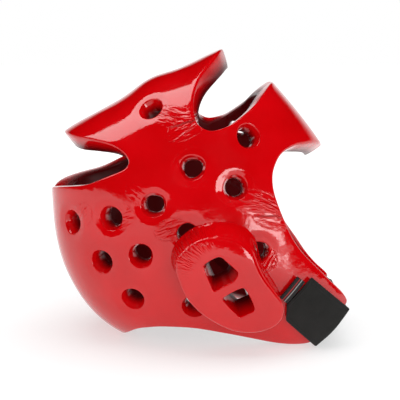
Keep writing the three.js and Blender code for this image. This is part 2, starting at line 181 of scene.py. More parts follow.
def lift_evenly(chart, height):
    """As lift, along normals evened out over the neighbourhood, for tall pieces near the pole."""
    turns = np.linspace(0, 2 * math.pi, EVEN_TURNS, endpoint=False)
    around = np.concatenate([reach * np.stack([np.cos(turns), np.sin(turns)], -1) for reach in EVEN_REACHES])
    normal = sum(skin_frame(chart + offset)[2] for offset in around)
    normal /= np.linalg.norm(normal, axis=-1, keepdims=True)
    return skin(chart) + normal * np.asarray(height, float)[..., None]


# ---- Curves in the chart ----

def spline(points, closed=False, parts=24):
    """Centripetal Catmull-Rom curve through the points, as the CAD's."""
    points = np.asarray(points, float)
    if closed:
        ring = np.vstack([points[-1], points, points[:2]])
    else:
        ring = np.vstack([2 * points[0] - points[1], points, 2 * points[-1] - points[-2]])
    made = []
    for a, b, c, d in zip(ring[:-3], ring[1:-2], ring[2:-1], ring[3:]):
        t1 = math.sqrt(np.linalg.norm(b - a))
        t2 = t1 + math.sqrt(np.linalg.norm(c - b))
        t3 = t2 + math.sqrt(np.linalg.norm(d - c))
        t = np.linspace(t1, t2, parts, endpoint=False)[:, None]
        ab = a + (b - a) * t / t1
        bc = b + (c - b) * (t - t1) / (t2 - t1)
        cd = c + (d - c) * (t - t2) / (t3 - t2)
        abc = ab + (bc - ab) * t / t2
        bcd = bc + (cd - bc) * (t - t1) / (t3 - t1)
        made.append(abc + (bcd - abc) * (t - t1) / (t2 - t1))
    if not closed:
        made.append(points[-1:])
    return np.vstack(made)


def lengths_along(points):
    """Distance of each point of a polyline from its start."""
    return np.concatenate([[0], np.cumsum(np.linalg.norm(np.diff(points, axis=0), axis=1))])


def read_off(line, lengths, at):
    """Points at distances along a polyline."""
    return np.stack([np.interp(at, lengths, line[:, k]) for k in range(line.shape[1])], -1)


def resample(line, step, closed=False):
    """The line with points an even true distance apart on the skin."""
    whole = np.vstack([line, line[:1]]) if closed else line
    along = lengths_along(skin(whole))
    made = read_off(whole, along, np.linspace(0, along[-1], max(4, round(along[-1] / step)) + 1))
    return made[:-1] if closed else made


def evened(loop, rounds):
    """A closed loop with its corners rounded."""
    for _ in range(rounds):
        loop = (np.roll(loop, 1, 0) + 2 * loop + np.roll(loop, -1, 0)) / 4
    return loop


def relaxed(line):
    """An open line with its corners rounded and its ends kept."""
    line = resample(line, RELAX_STEP)
    for _ in range(RELAX_ROUNDS):
        line[1:-1] = (line[:-2] + 2 * line[1:-1] + line[2:]) / 4
    return resample(line, EDGE_STEP)


def ring_on_skin(side_view, half_length, half_breadth, count, tilt=0):
    """Clockwise ellipse of true size round a point of the skin."""
    centre = to_chart(side_view)
    along_p, along_q, _ = skin_frame(centre)
    length_p = np.linalg.norm(along_p)
    slant = along_q @ along_p / length_p
    length_q = math.sqrt(along_q @ along_q - slant ** 2)
    angle = -2 * math.pi * np.arange(count) / count
    x, y = half_length * np.cos(angle), half_breadth * np.sin(angle)
    turn = math.radians(tilt)
    x, y = x * math.cos(turn) - y * math.sin(turn), x * math.sin(turn) + y * math.cos(turn)
    q = y / length_q
    return np.stack([centre[0] + (x - q * slant) / length_p, centre[1] + q], -1)


def seam_point(facing):
    turn = math.radians(facing)
    return CHART * np.array([math.cos(turn), math.sin(turn)])


def inward_step(line, closed):
    """Chart step that goes 1 mm into the material, which lies left of the line. An open line
    ends on the seam, and its end steps along the seam."""
    along_p, along_q, normal = skin_frame(line)
    if closed:
        tangent = skin(np.roll(line, -1, 0)) - skin(np.roll(line, 1, 0))
    else:
        tangent = np.gradient(skin(line), axis=0)
        tangent[0] = (0, -1, 0)
        tangent[-1] = (0, 1, 0)
    side = np.cross(normal, tangent)
    side /= np.linalg.norm(side, axis=1, keepdims=True)
    pp, pq, qq = (along_p ** 2).sum(1), (along_p * along_q).sum(1), (along_q ** 2).sum(1)
    sp, sq = (side * along_p).sum(1), (side * along_q).sum(1)
    det = pp * qq - pq ** 2
    return np.stack([(sp * qq - sq * pq) / det, (sq * pp - sp * pq) / det], -1)


def stepped(line, step, amount, closed):
    """The line moved into the material; the ends of an open line stay on the seam."""
    moved = line + amount * step
    if not closed:
        for end in (0, -1):
            moved[end] *= CHART / np.linalg.norm(moved[end])
    return moved


def counter_clockwise(loop):
    nxt = np.roll(loop, -1, 0)
    area = (loop[:, 0] * nxt[:, 1] - nxt[:, 0] * loop[:, 1]).sum()
    return loop if area > 0 else loop[::-1].copy()


def is_inside(loop, points):
    x, y = points[:, 0, None], points[:, 1, None]
    ax, ay = loop[:, 0], loop[:, 1]
    bx, by = np.roll(ax, -1), np.roll(ay, -1)
    with np.errstate(divide="ignore", invalid="ignore"):
        crosses = ((ay > y) != (by > y)) & (x < (bx - ax) * (y - ay) / (by - ay) + ax)
    return crosses.sum(1) % 2 == 1


def triangulate(outline, holes, inner):
    """Counter-clockwise triangles over the outline's inside less the holes."""
    loops = [outline, *holes]
    points = np.vstack([*loops, inner])
    edges, start = [], 0
    for loop in loops:
        edges += [(start + i, start + (i + 1) % len(loop)) for i in range(len(loop))]
        start += len(loop)
    flat = [Vector(point) for point in points]
    _, _, faces, sources, _, _ = delaunay_2d_cdt(flat, edges, [], 0, 1e-7)
    triangles = np.array([[sources[v][0] for v in face] for face in faces])
    centres = points[triangles].mean(1)
    keep = is_inside(outline, centres)
    for hole in holes:
        keep &= ~is_inside(hole, centres)
    return triangles[keep]


def hex_grid(low, high, step):
    made = []
    for row, y in enumerate(np.arange(low[1], high[1], step * math.sqrt(0.75))):
        x = np.arange(low[0] + (row % 2) * step / 2, high[0], step)
        made.append(np.stack([x, np.full_like(x, y)], -1))
    return np.vstack(made)


def grid_points(outline, holes, spots=(), coarse=COARSE):
    """Grid inside the outline, finer within the spots, each (chart centre, radius)."""
    low, high = outline.min(0), outline.max(0)
    edges = np.vstack([outline, *holes])
    made = []
    for step in (coarse, FINE):
        points = hex_grid(low, high, step)
        near = np.zeros(len(points), bool)
        for centre, radius in spots:
            near |= np.linalg.norm(points - centre, axis=1) < radius
        points = points[near if step == FINE else ~near]
        keep = is_inside(outline, points)
        for hole in holes:
            keep &= ~is_inside(hole, points)
        points = points[keep]
        if len(points) == 0:
            continue
        gap = np.concatenate([
            np.sqrt(((part[:, None] - edges) ** 2).sum(2)).min(1)
            for part in np.array_split(points, max(1, len(points) // GRID_CHUNK))
        ])
        made.append(points[gap > GRID_GAP * step])
    return np.vstack(made)


# ---- Meshes ----

class Body:
    """Points and faces of one mesh as it grows."""

    def __init__(self):
        self.points = []
        self.faces = []
        self.count = 0

    def add(self, points):
        self.points.append(points)
        self.count += len(points)
        return np.arange(self.count - len(points), self.count)

    def strip(self, rows, closed):
        """Quads between rows of point numbers. They face right of the rows' direction of
        travel, seen with each next row below the last."""
        for upper, lower in zip(rows[:-1], rows[1:]):
            last = len(upper) if closed else len(upper) - 1
            for i in range(last):
                j = (i + 1) % len(upper)
                self.faces.append((upper[i], lower[i], lower[j], upper[j]))

    def tube(self, rings):
        """A closed tube through rings of point numbers."""
        self.strip(rings, True)
        self.faces += [tuple(rings[0]), tuple(rings[-1][::-1])]

    def cap(self, numbers, triangles, flip=False):
        for triangle in numbers[triangles]:
            self.faces.append(tuple(triangle[::-1] if flip else triangle))


def placed(name, data):
    """A new object in the scene."""
    made = bpy.data.objects.new(name, data)
    bpy.context.scene.collection.objects.link(made)
    return made


def mesh_object(name, points, faces, material, attributes=None):
    """A smooth mesh object from millimetre points."""
    data = bpy.data.meshes.new(name)
    data.from_pydata(((points + STAND_SHIFT) * MM).tolist(), [], [tuple(int(v) for v in f) for f in faces])
    for key, values in (attributes or {}).items():
        layer = data.attributes.new(key, "FLOAT_VECTOR", "POINT")
        layer.data.foreach_set("vector", np.asarray(values, np.float32).ravel())
    data.polygons.foreach_set("use_smooth", [True] * len(data.polygons))
    data.materials.append(material)
    return placed(name, data)


def mirrored(points, faces):
    """The mesh moved to the wearer's other side."""
    return points * [1, -1, 1], [face[::-1] for face in faces]


def wall_rows(round_out, round_in, bulge, flare=0):
    """(inset, height) of each row down a dipped edge, from the skin to the inner face."""
    turns = np.linspace(0, math.pi / 2, 5)
    rows = [(flare + round_out * (1 - math.sin(t)), -round_out * (1 - math.cos(t))) for t in turns]
    span = FOAM - round_out - round_in
    for share in WALL_SHARES:
        depth = round_out + share * span
        widening = flare * max(0, 1 - depth / FLARE_DEPTH) ** 1.5
        rows.append((widening - bulge * math.sin(math.pi * share), -depth))
    rows += [(round_in * (1 - math.cos(t)), -FOAM + round_in * (1 - math.sin(t))) for t in turns]
    return rows


# ---- Relief of the skin ----

RIPPLE_SLOW, RIPPLE_QUICK = 0.16, 0.05


def ripple(points):
    """Slow unevenness of a hand-dipped skin, in mm."""
    x, y, z = points[..., 0], np.abs(points[..., 1]), points[..., 2]
    slow = np.sin(x / 23 + 1.3 * np.sin(z / 31)) * np.sin(z / 19 + y / 37)
    quick = np.sin(x / 9.1 + z / 13.7 + 2 * np.sin(y / 17)) * np.sin(z / 8.3 - x / 15.1)
    return RIPPLE_SLOW * slow + RIPPLE_QUICK * quick


def vent_sink(points):
    """How far the skin dips in round the vent mouths, in mm."""
    total = np.zeros(points.shape[:-1])
    mouth = VENT_RADIUS + MOUTH_FLARE + VENT_ROUND
    for centre in skin(to_chart([*VENTS, *RIGHT_LOW_VENTS])):
        away = np.linalg.norm(points - centre, axis=-1) - mouth
        share = np.clip(1 - away / VENT_SINK_REACH, 0, 1)
        total = np.maximum(total, VENT_SINK * share * share * (3 - 2 * share))
    return total


# Where the vinyl gathered into creases: side-view centre, direction in degrees, half length and
# half breadth of the patch, strength
CREASES = [
    ((-20, 211), 172, 24, 10, 1.0),
    ((-10, 201), 205, 20, 9, 0.9),
    ((-50, 145), 150, 14, 10, 0.35),
    ((56, 135), -17, 30, 12, 1.0),
    ((66, 121), -14, 18, 8, 0.6),
    ((-24, 114), 20, 15, 10, 1.0),
    ((-104, 122), 60, 14, 10, 0.45),
    ((-66, 124), 30, 12, 12, 0.35),
    ((60, 86), 60, 12, 10, 0.5),
]
CREASE_BEND, CREASE_SPACING = 0.004, 40


def gathers(points):
    """(mm along, mm across, strength) of the creases at each point."""
    side = points[..., [0, 2]]
    found = np.zeros(points.shape)
    for number, (centre, direction, length, breadth, strength) in enumerate(CREASES):
        turn = math.radians(direction)
        along = np.array([math.cos(turn), math.sin(turn)])
        offset = side - centre
        u, v = offset @ along, offset @ np.array([-along[1], along[0]])
        mask = strength * np.clip(1 - (u / length) ** 2 - (v / breadth) ** 2, 0, 1)
        here = np.stack([u, v + CREASE_BEND * u * u + CREASE_SPACING * number, mask], -1)
        found = np.where((mask > found[..., 2])[..., None], here, found)
    return found


def relief(chart, height):
    """Heights with the skin's relief, which fades through the foam."""
    points = skin(chart)
    height = np.broadcast_to(np.asarray(height, float), points.shape[:-1])
    fade = np.clip(1 + height / FOAM, 0, 1)
    return height + fade * (ripple(points) - vent_sink(points))


# ---- Foam shell ----

def shell_runs(cheek):
    """The cut edges of one half, as open lines with the material on their left."""
    front = spline([seam_point(FOREHEAD_TOP), *to_chart(FRONT_SLOT[::-1]), seam_point(CROWN_FRONT)])
    rear = spline([seam_point(CROWN_REAR), *to_chart(REAR_SLOT[::-1]), seam_point(REAR_BAND_TOP)])
    neck = spline([seam_point(NAPE), *to_chart(JAW_AND_NECK[::-1])])
    chin = to_chart(np.linspace(JAW_AND_NECK[0], cheek[-1], 30))[1:-1]
    face = spline([*to_chart([*BROW, *cheek][::-1]), seam_point(FOREHEAD_BOTTOM)])
    return [relaxed(line) for line in (front, rear, np.vstack([neck, chin, face]))]


def seam_run(start, end):
    """Points strictly between two points of the seam, counter-clockwise."""
    first, last = math.atan2(start[1], start[0]), math.atan2(end[1], end[0])
    last += 2 * math.pi if last < first else 0
    count = max(2, round((last - first) * CHART / COARSE))
    return np.array([seam_point(math.degrees(turn)) for turn in np.linspace(first, last, count + 1)[1:-1]])


def half_shell(cheek, low_vents, bores):
    """One half of the foam with its skin, on the wearer's right."""
    body = Body()
    edges = [(run, False, EDGE_ROUND, 0) for run in shell_runs(cheek)]
    for at in [*VENTS, *low_vents]:
        flare = CUP_SIDE_FLARE if at in CUP_SIDE_VENTS else MOUTH_FLARE
        edges.append((ring_on_skin(at, VENT_RADIUS, VENT_RADIUS, VENT_POINTS), True, VENT_ROUND, flare))
    ear = ring_on_skin(EAR, EAR_HALF_LENGTH, EAR_HALF_BREADTH, EAR_POINTS, EAR_TILT)
    edges.append((ear, True, EAR_ROUND, 0))
    edges += [(ring_on_skin(at, RIVET_BORE, RIVET_BORE, BORE_POINTS), True, BORE_ROUND, 0) for at in bores]
    faces, depths = ([], []), []

    def lay(chart, height):
        depths.append(np.full(len(chart), -height / FOAM))
        return body.add(lift(chart, relief(chart, height)))

    for line, closed, rounding, flare in edges:
        step = inward_step(line, closed)
        rows = []
        for inset, height in wall_rows(rounding, min(INNER_ROUND, rounding), WALL_BULGE, flare):
            chart = stepped(line, step, inset, closed)
            rows.append((chart, lay(chart, height)))
        body.strip([numbers for _, numbers in rows], closed)
        faces[0].append((*rows[0], closed))
        faces[1].append((*rows[-1], closed))
    spots = [(to_chart(centre), length) for centre, _, length, _, _ in CREASES]
    for side, (height, flip) in zip(faces, ((0, False), (-FOAM, True))):
        runs = [(chart, numbers) for chart, numbers, closed in side if not closed]
        holes = [(chart, numbers) for chart, numbers, closed in side if closed]
        outline, order = [], []
        for k, (chart, numbers) in enumerate(runs):
            seam = seam_run(runs[k - 1][0][-1], chart[0])
            outline += [seam, chart]
            order += [lay(seam, height), numbers]
        outline = np.vstack(outline)
        inner = grid_points(outline, [chart for chart, _ in holes], () if flip else spots)
        order += [*[numbers for _, numbers in holes], lay(inner, height)]
        triangles = triangulate(outline, [chart for chart, _ in holes], inner)
        body.cap(np.concatenate(order), triangles, flip)
    return np.vstack(body.points), body.faces, np.concatenate(depths)


def foam_shell(material):
    """Both halves as one dipped skin, joined along the centre seam."""
    right, right_faces, right_depth = half_shell(RIGHT_CHEEK, RIGHT_LOW_VENTS, [])
    left, left_faces, left_depth = half_shell(LEFT_CHEEK, LEFT_LOW_VENTS, RIVETS)
    gathered = gathers(np.vstack([right, left]))
    depth = np.concatenate([right_depth, left_depth])
    left[:, 1] *= -1
    points = np.vstack([right, left])
    faces = right_faces + [tuple(v + len(right) for v in face[::-1]) for face in left_faces]
    number = np.arange(len(points))
    on_seam = np.flatnonzero(np.abs(points[:, 1]) < SEAM_MERGE)
    points[on_seam, 1] = 0
    ours, theirs = on_seam[on_seam < len(right)], on_seam[on_seam >= len(right)]
    away = np.linalg.norm(points[theirs][:, None] - points[ours], axis=2)
    meets = away.min(1) < SEAM_MERGE
    number[theirs[meets]] = ours[away.argmin(1)[meets]]
    used = np.unique(number)
    place = np.zeros(len(points), int)
    place[used] = np.arange(len(used))
    faces = [tuple(place[number[list(face)]]) for face in faces]
    # Its first part, the depth through the foam, sets the painted shade of the vinyl inside
    depth_for_shade = np.stack([depth, gathered[:, 2], np.zeros(len(depth))], -1)
    attributes = {"depth_for_shade": depth_for_shade[used], "gather": gathered[used]}
    shell = mesh_object("foam_shell", points[used], faces, material, attributes)
    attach(shell, "shell")
    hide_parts("shell_right", "shell_left")
    return shell


# ---- Ear cups ----

def cup_outlines():
    """Face and foot loops, counter-clockwise, with matching points."""
    curves = [spline(points[::-1], True) for points in (CUP_FACE, CUP_FOOT)]
    whole = [np.vstack([curve, curve[:1]]) for curve in curves]
    along = lengths_along(skin(to_chart(whole[0])))
    at = np.linspace(0, along[-1], round(along[-1] / CUP_EDGE_STEP), endpoint=False)
    return [to_chart(evened(read_off(curve, along, at), CUP_RELAX_ROUNDS)) for curve in whole]


def cup_top(chart, rim):
    """Height of the crowned face."""
    from_rim = np.sqrt(((chart[:, None] - rim) ** 2).sum(2)).min(1)
    share = np.clip(from_rim / CUP_CROWN_REACH, 0, 1)
    return CUP_HEIGHT + CUP_CROWN * share * (2 - share)


def cup_gathers(points):
    """(mm along, mm across, strength) of the radial creases on the upper rear of the rim."""
    offset = (points - skin(to_chart(CUP_MIDDLE)))[..., [0, 2]]
    turn = np.degrees(np.arctan2(offset[..., 1], offset[..., 0]))
    away = np.linalg.norm(offset, axis=-1)
    near = np.clip(1 - ((turn - CUP_CREASE_FACING) / CUP_CREASE_SPREAD) ** 2, 0, 1)
    mask = near * np.clip((away - CUP_CREASE_START) / CUP_CREASE_FADE, 0, 1)
    return np.stack([away, np.radians(turn) * CUP_RIM_RADIUS, mask], -1)


def slot_rows(slot, rim):
    """(chart, heights) of each row down a sound slot, from the face to the underside."""
    mouth = counter_clockwise(resample(to_chart(slot), SLOT_EDGE_STEP, True))[::-1]
    mouth = evened(mouth, SLOT_RELAX_ROUNDS)
    step, top, inward = inward_step(mouth, True), cup_top(mouth, rim), mouth.mean(0) - mouth
    rounding = [(SLOT_ROUND * (1 - math.sin(t)), SLOT_ROUND * (1 - math.cos(t))) for t in ROUND_TURNS]
    rows = [(mouth + inset * step, top - drop) for inset, drop in rounding]
    for share in SLOT_SHARES:
        depth = share * (top - SLOT_ROUND - CUP_SINK)
        rows.append((mouth + share * SLOT_TAPER * inward, top - SLOT_ROUND - depth))
    narrow = mouth + SLOT_TAPER * inward
    return rows + [(narrow + inset * step, np.full(len(mouth), CUP_SINK + rise)) for rise, inset in rounding]


def ear_cup(name, node, mirror, material):
    body = Body()
    face, foot = cup_outlines()
    step = inward_step(face, True)
    rows = [(CUP_ROUND * (1 - math.sin(t)), CUP_HEIGHT - CUP_ROUND * (1 - math.cos(t))) for t in ROUND_TURNS]
    rows += [(0, height) for height in CUP_WALL_HEIGHTS] + CUP_HEM
    numbers, charts, levels, in_slot = [], [], [], []

    def lay(chart, height, slot):
        levels.append(height)
        in_slot.append(np.full(len(chart), float(slot)))
        return body.add(lift_evenly(chart, height))

    for inset, height in rows:
        share = (CUP_HEIGHT - height) / CUP_HEIGHT
        charts.append(face + inset * step + share * (foot - face))
        numbers.append(lay(charts[-1], np.full(len(face), height), False))
    body.strip(numbers, True)
    holes_top, holes_bottom = [], []
    for slot in CUP_SLOTS:
        down = slot_rows(slot, charts[0])
        slot_numbers = [lay(chart, height, True) for chart, height in down]
        body.strip(slot_numbers, True)
        holes_top.append((down[0][0], slot_numbers[0]))
        holes_bottom.append((down[-1][0], slot_numbers[-1]))
    for outline, edge, holes, flip in (
        (charts[0], numbers[0], holes_top, False), (charts[-1], numbers[-1], holes_bottom, True),
    ):
        loops = [chart for chart, _ in holes]
        inner = grid_points(outline, loops, coarse=COARSE if flip else CUP_STEP)
        height = np.full(len(inner), CUP_SINK) if flip else cup_top(inner, outline)
        order = [edge, *[n for _, n in holes], lay(inner, height, flip)]
        body.cap(np.concatenate(order), triangulate(outline, loops, inner), flip)
    points, faces = np.vstack(body.points), body.faces
    gathered = cup_gathers(points)
    # Depth down the sound slots only, which sets the painted shade of their walls
    depth = np.clip((CUP_HEIGHT - np.concatenate(levels)) / CUP_HEIGHT, 0, 1) * np.concatenate(in_slot)
    depth_for_shade = np.stack([depth, gathered[:, 2], np.zeros(len(points))], -1)
    if mirror:
        points, faces = mirrored(points, faces)
    cup = mesh_object(name, points, faces, material, {"depth_for_shade": depth_for_shade, "gather": gathered})
    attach(cup, "shell")
    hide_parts(node)
    return cup


# ---- Chin strap ----

STRAP_THICKNESS = 2.5
FOLD_TOP, FOLD_BOTTOM = np.array([137.6, 34.6]), np.array([108.4, 1.0])
FLAP_REAR = [(100, 68.7), (79, 47.5), (79, 31)]
FLAP_FRONT = [(134.6, 36.2), (106.4, 4.2)]
FIXED_REAR = [(98, 65.5), (79, 47.5), (79, 31)]
FIXED_FRONT = [(130, 37.5), (103.5, 7.5)]
PATCH_REAR = [(100.5, 63.5), (83, 46.5), (83, 32)]
PATCH_FRONT = [(129.5, 36.5), (106.5, 10)]
PATCH_THICKNESS, PATCH_HEIGHT = 1.2, 0.9
FLAP_HEIGHT = 3.0
FIXED_HEIGHT = 0.9
FOLD_REACH, FOLD_NEAR, FOLD_FAR = 6.0, 0.8, 0.62
LABEL_LINE = [(75.9, 50.4), (90.4, 67.9)]
LABEL_WIDTH, LABEL_THICKNESS, LABEL_ACROSS, LABEL_STATIONS = 9.0, 2.2, 11, 20
STRAP_ACROSS = 25
PANEL_STATIONS, FOLD_STATIONS, BAND_STATIONS = 26, 13, 15
EDGE_TURNS = np.linspace(-math.pi / 2, math.pi / 2, 7)
END_THINNING = np.array([0.45, 0.85])
STRAP_WAVE = 0.22
STITCH_PITCH, STITCH_LENGTH, STITCH_RADIUS, STITCH_INSET = 2.6, 2.0, 0.28, 3.0
STITCH_RISE, STITCH_BED, STITCH_TIP, STITCH_PARTS, STITCH_SIDES = 1.1, 0.6, 0.35, 7, 8
HEM_STATIONS = 40
PATCH_STATIONS = 24
HOOK_ROWS, HOOK_COLUMNS, HOOK_SIDES = 30, 32, 6
HOOKS_ALONG, HOOKS_ACROSS = (0.03, 0.97), (0.04, 0.96)
# (lean, height, radius) along one moulded hook
HOOK_PATH = [(0, -0.1, 0.17), (0, 0.45, 0.13), (0.12, 0.72, 0.12), (0.34, 0.8, 0.11), (0.5, 0.66, 0.05)]


def unit(vectors):
    return vectors / np.linalg.norm(vectors, axis=-1, keepdims=True)


def along_line(points, shares):
    """Points at shares of the length of a polyline."""
    points = np.asarray(points, float)
    lengths = lengths_along(points)
    return read_off(points, lengths, shares * lengths[-1])


def directions(rows):
    """Along, across and outward at each point of a grid of points."""
    along, across = unit(np.gradient(rows, axis=0)), unit(np.gradient(rows, axis=1))
    return along, across, unit(np.cross(across, along))


def panel(rear, front, height, thickness, stations):
    """Middle surface of a strap panel on the skin, stations by points across."""
    across = np.linspace(0, 1, STRAP_ACROSS)
    start, end = along_line(rear, across), along_line(front, across)
    side_view = start + stations[:, None, None] * (end - start)
    return lift(to_chart(side_view), np.full(side_view.shape[:2], height + thickness / 2))


def end_stations(count, first=0.012):
    """Shares along a panel, close together at its free end."""
    return np.concatenate([[0, first / 3, first], np.linspace(first * 2.5, 1, count)])


def round_fold(last, before, start, count):
    """Bends from the panel's last row to the band's first row."""
    tangent = unit(last - before)
    normal = unit(np.array([FOLD_TOP[1] - FOLD_BOTTOM[1], 0, -(FOLD_TOP[0] - FOLD_BOTTOM[0])]))
    reach = ((start - last) @ normal) / (tangent @ normal)
    corner = last + tangent * reach[:, None]
    start = start.copy()
    start[:, 1] = corner[:, 1] + FOLD_REACH
    near, far = last + FOLD_NEAR * (corner - last), start + FOLD_FAR * (corner - start)
    t = np.linspace(0, 1, count + 2)[1:, None, None]
    return (1 - t) ** 3 * last + 3 * t * (1 - t) ** 2 * near + 3 * t * t * (1 - t) * far + t ** 3 * start


def ribbon(name, middle, thickness, material, edge=1.0, open_end=False):
    """A closed strap round a middle surface, stations by points across, with rounded edges and
    thin ends. Its weave attribute holds mm along, mm across, and 1 outside to -1 inside."""
    _, across, normal = directions(middle)
    depth = np.full(len(middle), thickness / 2)
    depth[:2] *= END_THINNING
    if not open_end:
        depth[-2:] *= END_THINNING[::-1]
    run = np.cumsum(np.linalg.norm(np.diff(middle, axis=0, prepend=middle[:1]), axis=2), axis=0)
    width = np.cumsum(np.linalg.norm(np.diff(middle, axis=1, prepend=middle[:, :1]), axis=2), axis=1)
    body = Body()
    numbers, weave = [], []
    for k, half in enumerate(depth):
        offset = half * normal[k]
        cloth = np.stack([run[k], width[k], np.ones(middle.shape[1])], -1)
        ring, sides = [(middle[k] + offset)[1:-1]], [cloth[1:-1]]
        for end, sign in ((-1, 1), (0, -1)):
            turn = sign * EDGE_TURNS[:, None]
            round_edge = middle[k, end] + sign * edge * (np.cos(turn) - 1) * across[k, end]
            ring.append(round_edge - half * np.sin(turn) * normal[k, end])
            sides.append(np.tile(cloth[end] * [1, 1, 0], (len(turn), 1)))
            if end == -1:
                ring.append((middle[k] - offset)[1:-1][::-1])
                sides.append((cloth * [1, 1, -1])[1:-1][::-1])
        numbers.append(body.add(np.vstack(ring)))
        weave.append(np.vstack(sides))
    body.strip(numbers[::-1], True)
    body.faces.append(tuple(numbers[0][::-1]))
    body.faces.append(tuple(numbers[-1]))
    return mesh_object(name, np.vstack(body.points), body.faces, material, {"weave": np.vstack(weave)})


def strap_middle(rear, front, height):
    """Middle surface of one end of the strap: panel on the cheek, fold, and half the band."""
    panel_rows = panel(rear, front, height, STRAP_THICKNESS, end_stations(PANEL_STATIONS))
    across = np.linspace(0, 1, STRAP_ACROSS)[:, None]
    line = FOLD_TOP + across * (FOLD_BOTTOM - FOLD_TOP)
    start = np.stack([line[:, 0], np.zeros(STRAP_ACROSS), line[:, 1]], -1)
    fold = round_fold(panel_rows[-1], panel_rows[-3], start, FOLD_STATIONS)
    shares = np.linspace(0, 1, BAND_STATIONS)[1:, None, None]
    band = fold[-1] * (1 - shares * [0, 1, 0])
    middle = np.vstack([panel_rows, fold, band])
    # Slow lengthways unevenness of webbing that has been worn and folded
    along, across, _ = directions(middle)
    wave = np.sin(middle[..., 0] / 9 + middle[..., 2] / 14) * np.sin(middle[..., 2] / 11)
    return middle + STRAP_WAVE * wave[..., None] * np.cross(across, along)


def chin_strap(material):
    """The strap's two halves. The near one peels off the right cheek and carries the band to the
    centre plane; the far one is riveted to the left cheek and brings the rest."""
    near = ribbon("strap_near", strap_middle(FLAP_REAR, FLAP_FRONT, FLAP_HEIGHT), STRAP_THICKNESS, material,
                  open_end=True)
    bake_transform(near)
    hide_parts("strap_flap", "strap_band")
    far_middle = strap_middle(FIXED_REAR, FIXED_FRONT, FIXED_HEIGHT)[:, ::-1] * [1, -1, 1]
    far = ribbon("strap_far", far_middle, STRAP_THICKNESS, material, open_end=True)
    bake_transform(far)
    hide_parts("strap_fixed_end", "strap_band")
    return near, far


def stitch_row(body, line, normal):
    """Adds thread stitches along a line of the strap's face."""
    lengths = lengths_along(line)
    shares = np.linspace(0, 1, STITCH_PARTS)
    arch = np.sin(math.pi * shares)
    radius = STITCH_RADIUS * (STITCH_TIP + (1 - STITCH_TIP) * arch ** 0.5)
    turn = np.linspace(0, 2 * math.pi, STITCH_SIDES, endpoint=False)[:, None]
    for at in np.arange(STITCH_PITCH, lengths[-1] - STITCH_PITCH, STITCH_PITCH):
        place = at + (shares - 0.5) * STITCH_LENGTH
        up = unit(read_off(normal, lengths, place))
        rise = STITCH_RADIUS * (STITCH_RISE * arch - STITCH_BED)
        centre = read_off(line, lengths, place) + up * rise[:, None]
        side = np.cross(unit(np.gradient(centre, axis=0)), up)
        body.tube([body.add(centre[k] + radius[k] * (np.cos(turn) * side[k] + np.sin(turn) * up[k]))
                   for k in range(STITCH_PARTS)])


def hem_stitches(name, rear, front, height, mirror, body_name, material):
    """Thread along the two long edges of a panel and across its free end."""
    middle = panel(rear, front, height, STRAP_THICKNESS, np.linspace(0, 1, HEM_STATIONS))
    normal = directions(middle)[2]
    top = middle + normal * STRAP_THICKNESS / 2
    width = np.linalg.norm(middle[-1, 0] - middle[-1, -1])
    length = np.linalg.norm(middle[0, STRAP_ACROSS // 2] - middle[-1, STRAP_ACROSS // 2])
    edge = max(1, round(STITCH_INSET / width * (STRAP_ACROSS - 1)))
    first = round(STITCH_INSET / length * (HEM_STATIONS - 1))
    body = Body()
    for row in (np.s_[first:-1, edge], np.s_[first:-1, -1 - edge], np.s_[first, edge:-edge]):
        stitch_row(body, top[row], normal[row])
    points, faces = np.vstack(body.points), body.faces
    if mirror:
        points, faces = mirrored(points, faces)
    made = mesh_object(name, points, faces, material)
    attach(made, body_name)
    return made


def label_strip(material):
    """Narrow woven strip beside the flap's rear edge."""
    start, end = np.array(LABEL_LINE)
    along = unit(end - start)
    across = np.array([-along[1], along[0]])
    shares = np.concatenate([end_stations(LABEL_STATIONS)[:-2], 1 - end_stations(2)[:3][::-1]])
    offsets = np.linspace(0.5, -0.5, LABEL_ACROSS) * LABEL_WIDTH
    side_view = start + shares[:, None, None] * (end - start) + offsets[:, None] * across
    height = np.full(side_view.shape[:2], FLAP_HEIGHT + LABEL_THICKNESS / 2)
    middle = lift(to_chart(side_view), height)
    made = ribbon("label_strip", middle, LABEL_THICKNESS, material, edge=0.7)
    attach(made, "strap_flap")
    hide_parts("strap_label")
    return made


def hook_patch(tape, hook):
    """Hook tape under the flap, with its rows of moulded hooks."""
    middle = panel(PATCH_REAR, PATCH_FRONT, PATCH_HEIGHT, PATCH_THICKNESS, end_stations(PATCH_STATIONS))
    base = ribbon("hook_tape", middle, PATCH_THICKNESS, tape, edge=0.5)
    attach(base, "shell")
    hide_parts("hook_patch")
    stations = np.linspace(*HOOKS_ALONG, HOOK_ROWS)
    rows = panel(PATCH_REAR, PATCH_FRONT, PATCH_HEIGHT, PATCH_THICKNESS, stations)
    along, across, normal = directions(rows)
    body = Body()
    turn = np.linspace(0, 2 * math.pi, HOOK_SIDES, endpoint=False)[:, None]
    for k in range(HOOK_ROWS):
        for share in np.linspace(*HOOKS_ACROSS, HOOK_COLUMNS):
            at = share * (STRAP_ACROSS - 1)
            low = int(at)
            mix = at - low
            foot = rows[k, low] * (1 - mix) + rows[k, low + 1] * mix
            up, forward, side = normal[k, low], along[k, low], across[k, low]
            foot = foot + up * PATCH_THICKNESS / 2
            body.tube([body.add(foot + lean * forward + high * up
                                + radius * (np.cos(turn) * side + np.sin(turn) * (forward if n < 2 else up)))
                       for n, (lean, high, radius) in enumerate(HOOK_PATH)])
    hooks = mesh_object("hook_rows", np.vstack(body.points), body.faces, hook)
    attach(hooks, "shell")


# ---- Materials ----

def node_material(name):
    material = bpy.data.materials.new(name)
    material.use_nodes = True
    return material, Nodes(material.node_tree)


